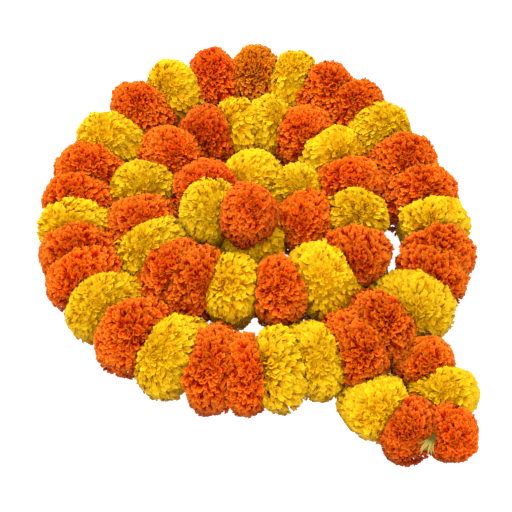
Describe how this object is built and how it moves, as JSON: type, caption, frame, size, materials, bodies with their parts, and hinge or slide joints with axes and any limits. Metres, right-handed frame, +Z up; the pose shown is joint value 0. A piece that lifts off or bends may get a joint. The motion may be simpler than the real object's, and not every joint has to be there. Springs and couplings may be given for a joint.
{
  "type": "marigold garland",
  "caption": "Garland of orange and yellow marigold heads on a cotton string, laid in a flat coil with a short tail.",
  "frame": {"origin": "on the floor plane, under the middle of the coil and tail's outline", "axes": "+Z up from the surface it lies on; -Y towards the short tail end, +X to the tail's side"},
  "size_m": [0.3472, 0.3922, 0.0771],
  "materials": {
    "petals_orange_red": "matt, thin ruffled petals",
    "petals_orange": "matt, thin ruffled petals",
    "petals_amber": "matt, thin ruffled petals",
    "petals_yellow": "matt, thin ruffled petals",
    "cotton": "matt twisted cotton",
    "calyx_green": "matt, ribbed pale green"
  },
  "bodies": {
    "root": {"head_01_yellow": "petals_yellow", "head_02_orange_red": "petals_orange_red", "head_03_yellow": "petals_yellow", "head_04_orange_red": "petals_orange_red", "head_05_yellow": "petals_yellow", "head_06_yellow": "petals_yellow", "head_07_orange": "petals_orange", "head_08_yellow": "petals_yellow", "head_09_orange": "petals_orange", "head_10_yellow": "petals_yellow", "head_11_orange": "petals_orange", "head_12_orange": "petals_orange", "head_13_yellow": "petals_yellow", "head_14_orange": "petals_orange", "head_15_yellow": "petals_yellow", "head_16_orange": "petals_orange", "head_17_orange_red": "petals_orange_red", "head_18_yellow": "petals_yellow", "head_19_yellow": "petals_yellow", "head_20_orange": "petals_orange", "head_21_yellow": "petals_yellow", "head_22_orange": "petals_orange", "head_23_yellow": "petals_yellow", "head_24_orange": "petals_orange", "head_25_orange": "petals_orange", "head_26_orange": "petals_orange", "head_27_yellow": "petals_yellow", "head_28_yellow": "petals_yellow", "head_29_orange": "petals_orange", "head_30_orange": "petals_orange", "head_31_yellow": "petals_yellow", "head_32_orange": "petals_orange", "head_33_yellow": "petals_yellow", "head_34_orange": "petals_orange", "head_35_orange": "petals_orange", "head_36_yellow": "petals_yellow", "head_37_orange": "petals_orange", "head_38_orange": "petals_orange", "head_39_yellow": "petals_yellow", "head_40_orange": "petals_orange", "head_41_yellow": "petals_yellow", "head_42_orange_red": "petals_orange_red", "head_43_amber": "petals_amber", "head_44_yellow": "petals_yellow", "head_45_orange": "petals_orange", "head_46_orange": "petals_orange", "head_47_yellow": "petals_yellow", "head_48_orange": "petals_orange", "head_49_orange": "petals_orange", "head_50_yellow": "petals_yellow", "head_51_orange": "petals_orange", "head_52_orange": "petals_orange", "head_53_yellow": "petals_yellow", "head_54_orange": "petals_orange", "head_55_yellow": "petals_yellow", "head_56_orange_red": "petals_orange_red", "head_57_orange_red": "petals_orange_red", "head_58_yellow": "petals_yellow", "string": "cotton", "calyx_stalk": "calyx_green"}
  },
  "joints": []
}
